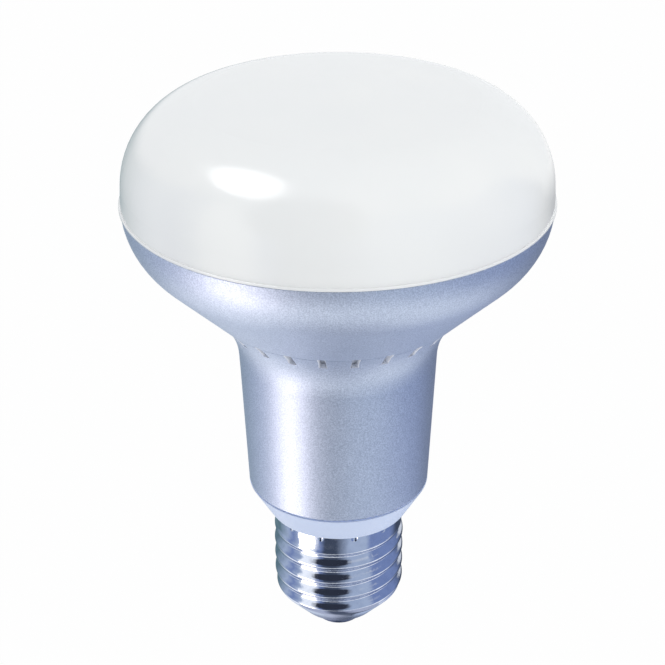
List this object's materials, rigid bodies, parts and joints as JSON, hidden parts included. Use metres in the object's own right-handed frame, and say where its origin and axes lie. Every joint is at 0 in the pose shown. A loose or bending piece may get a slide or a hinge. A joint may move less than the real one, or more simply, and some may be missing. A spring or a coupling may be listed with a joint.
{
  "type": "reflector bulb",
  "caption": "Screw-cap reflector lamp: flared silver housing with vent slots, domed opal diffuser, white collar, threaded metal cap, light-emitting-diode board and driver inside.",
  "frame": {"origin": "centre of the flat bottom contact of the screw cap, which is the lowest point", "axes": "+Z along the lamp's axis from the cap to the top of the diffuser; the pictured front faces -Y"},
  "size_m": [0.0802, 0.0802, 0.1153],
  "materials": {
    "silver_paint": "satin",
    "opal_diffuser": "gloss",
    "cast_aluminium": "satin",
    "white_solder_mask": "satin",
    "led_package": "satin",
    "zinc_screws": "satin",
    "white_plastic": "satin",
    "nickel_plate": "polished",
    "black_glass": "gloss",
    "tinned_brass": "satin",
    "circuit_board": "matte",
    "resistor_coating": "satin",
    "film_case": "satin",
    "varistor_coating": "satin",
    "ferrite": "matte",
    "enamelled_copper": "gloss",
    "black_moulding": "matte",
    "capacitor_sleeve": "satin",
    "red_insulation": "satin",
    "black_insulation": "satin",
    "white_insulation": "satin"
  },
  "bodies": {
    "root": {"housing": "silver_paint", "diffuser": "opal_diffuser", "heat_plate": "cast_aluminium", "led_board": "white_solder_mask", "led_01": "led_package", "led_02": "led_package", "led_03": "led_package", "led_04": "led_package", "led_05": "led_package", "led_06": "led_package", "led_07": "led_package", "led_08": "led_package", "led_09": "led_package", "led_10": "led_package", "led_11": "led_package", "led_12": "led_package", "led_13": "led_package", "led_14": "led_package", "led_15": "led_package", "led_16": "led_package", "led_17": "led_package", "led_18": "led_package", "board_screws": "zinc_screws", "inner_sleeve": "white_plastic", "screw_shell": "nickel_plate", "cap_insulator": "black_glass", "centre_contact": "tinned_brass", "contact_tack": "tinned_brass", "driver_board": "circuit_board", "fuse_resistor": "resistor_coating", "film_capacitor": "film_case", "varistor": "varistor_coating", "choke_core": "ferrite", "choke_winding": "enamelled_copper", "input_capacitor": "capacitor_sleeve", "output_capacitor": "capacitor_sleeve", "transformer_core": "ferrite", "transformer_bobbin": "black_moulding", "transformer_winding": "enamelled_copper", "bridge_rectifier": "black_moulding", "driver_chip": "black_moulding", "output_diode": "black_moulding", "live_lead": "red_insulation", "neutral_lead": "white_insulation", "led_lead_positive": "red_insulation", "led_lead_negative": "black_insulation"}
  },
  "joints": []
}
